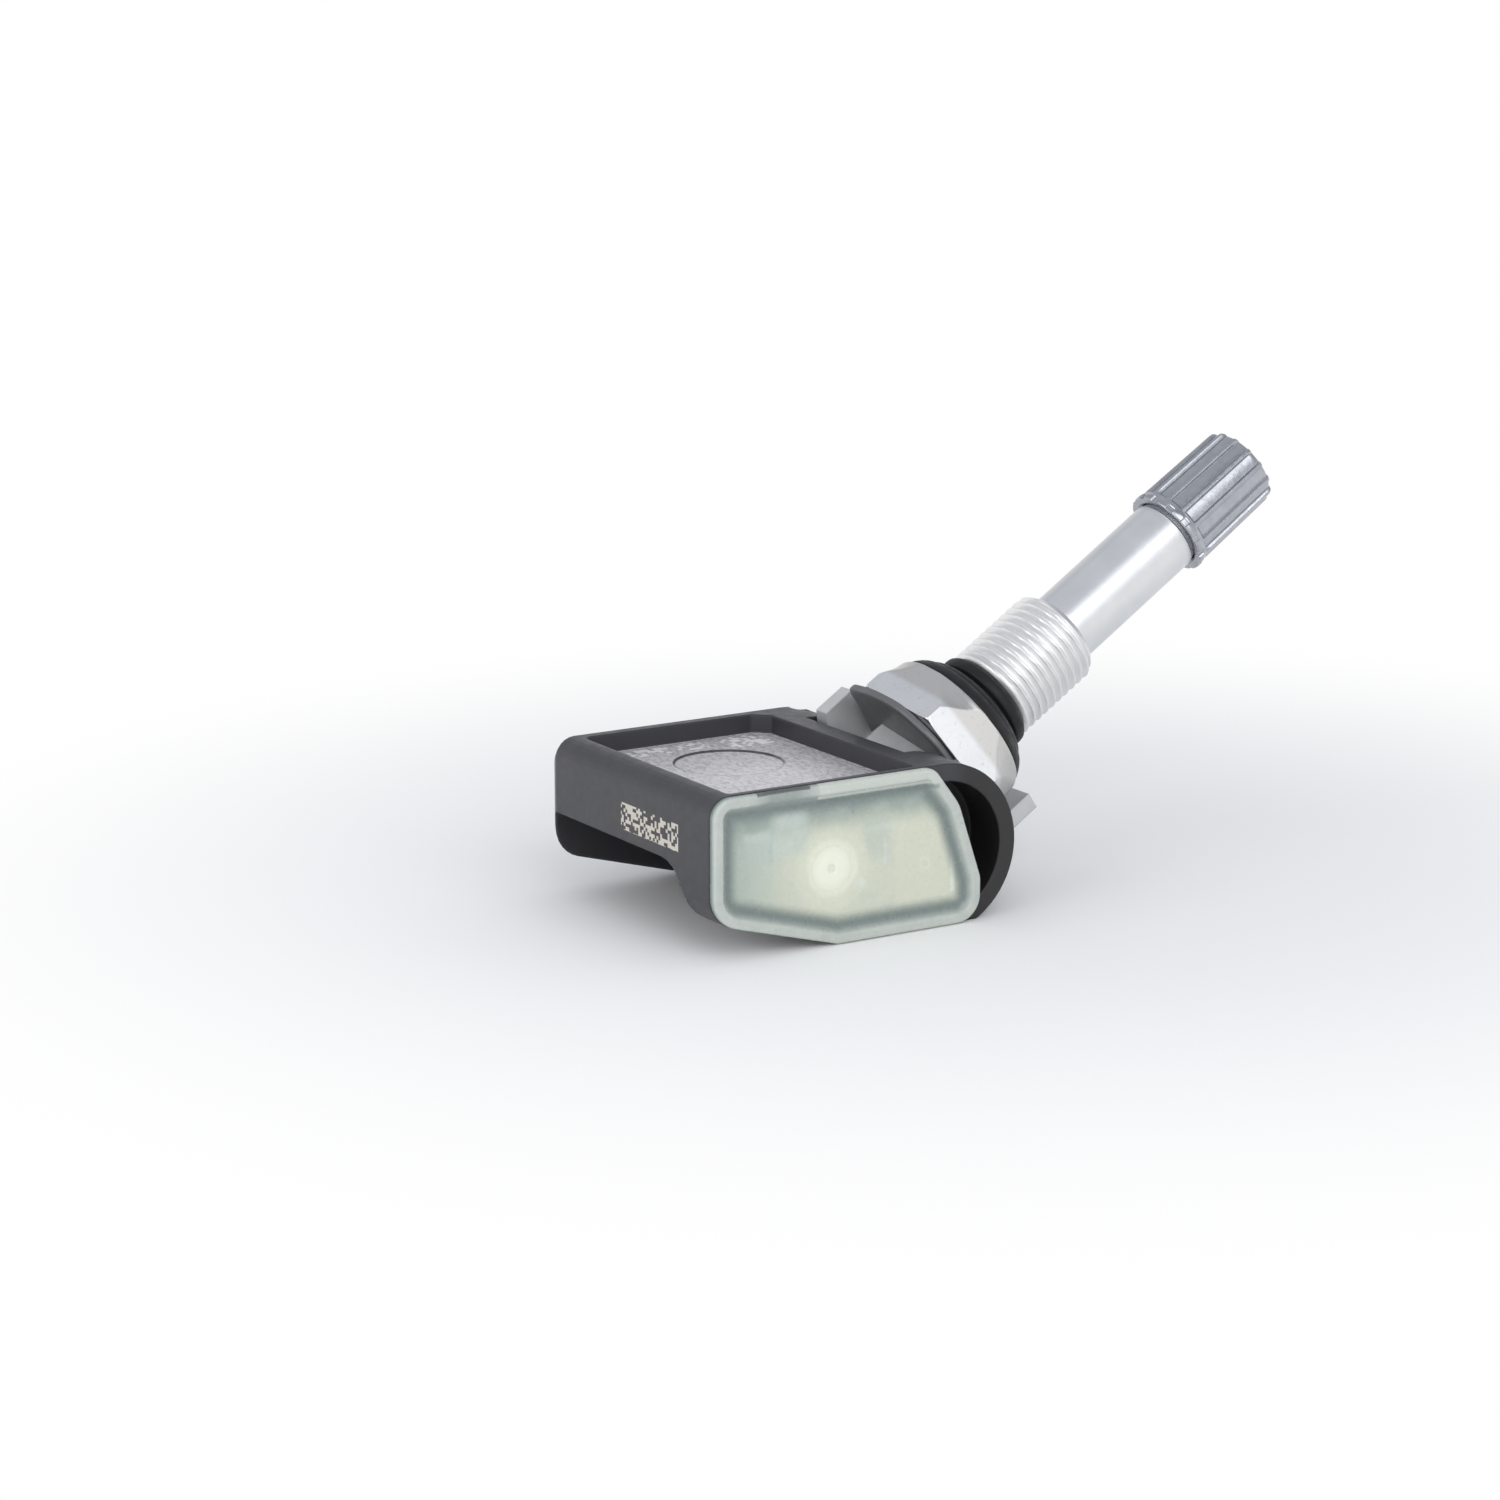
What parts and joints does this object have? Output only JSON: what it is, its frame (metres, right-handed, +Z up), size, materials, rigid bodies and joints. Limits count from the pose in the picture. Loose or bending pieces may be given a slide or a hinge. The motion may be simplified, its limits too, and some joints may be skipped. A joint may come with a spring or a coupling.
{
  "type": "tyre pressure sensor",
  "caption": "Clamp-in tyre pressure sensor: dark plastic housing with a pale potted face, swivelling on a metal valve with hexagon, rubber grommet, thread and fluted dust cap.",
  "frame": {"origin": "Middle of the grommet's neck, on the valve's axis", "axes": "+X towards the cap with the housing's top level, +Y towards the back of the housing, +Z up"},
  "size_m": [0.0793, 0.034, 0.044],
  "materials": {
    "housing_plastic": "fine moulded texture",
    "potting_compound": "cloudy translucent resin",
    "board_laminate": "resin coated laminate",
    "cell_steel": "rolled nickel plated steel",
    "tab_nickel": "rolled nickel strip",
    "chip_mould": "moulded epoxy",
    "seal_silicone": "smooth pale silicone",
    "can_steel": "drawn steel can",
    "coil_ferrite": "potted winding",
    "antenna_copper": "copper strip",
    "capacitor_ceramic": "fired ceramic",
    "saddle_zinc": "tumbled cast zinc",
    "clamp_steel": "plated steel",
    "bolt_steel": "plated steel",
    "stem_metal": "turned nickel finish",
    "grommet_rubber": "moulded rubber",
    "core_brass": "turned brass",
    "gasket_red": "moulded seal",
    "spring_steel": "drawn wire",
    "plug_rubber": "moulded rubber",
    "cap_plastic": "semi gloss moulded plastic"
  },
  "bodies": {
    "valve": {"valve_stem": "stem_metal", "rim_grommet": "grommet_rubber", "saddle": "saddle_zinc", "clamp_plate": "clamp_steel", "clamp_bolt": "bolt_steel", "core_body": "core_brass", "core_gasket": "gasket_red", "core_spring": "spring_steel"},
    "housing": {"housing": "housing_plastic", "potting": "potting_compound", "circuit_board": "board_laminate", "battery": "cell_steel", "battery_tab_upper": "tab_nickel", "battery_tab_lower": "tab_nickel", "sensor_chip": "chip_mould", "port_seal": "seal_silicone", "transmitter_chip": "chip_mould", "crystal": "can_steel", "lf_coil": "coil_ferrite", "antenna": "antenna_copper", "capacitors": "capacitor_ceramic"},
    "core_pin": {"core_pin": "core_brass", "core_plug": "plug_rubber"},
    "cap_seal": {"cap_seal": "plug_rubber"},
    "dust_cap": {"dust_cap": "cap_plastic"}
  },
  "joints": [
    {"name": "housing_swivel", "type": "hinge", "parent": "valve", "child": "housing", "pos_m": [-0.01576, 0, -0.01043], "axis": [0, 1, 0], "range_deg": [-12, 5]},
    {"name": "core_press", "type": "slide", "parent": "valve", "child": "core_pin", "axis": [-0.8339, 0, -0.5519], "range_m": [0, 0.001], "stiffness_N_per_m": 800, "springref_m": -0.0005, "deforming": ["core_spring"]},
    {"name": "cap_lift", "type": "slide", "parent": "valve", "child": "cap_seal", "axis": [0.8339, 0, 0.5519], "range_m": [0, 0.00555]},
    {"name": "cap_turn", "type": "hinge", "parent": "cap_seal", "child": "dust_cap", "pos_m": [0.02677, 0, 0.01772], "axis": [0.8339, 0, 0.5519], "range_deg": [0, 2520]}
  ],
  "couplings": [
    {"joint": "cap_turn", "follows": "cap_lift", "rad_per_m": 7913.3}
  ]
}
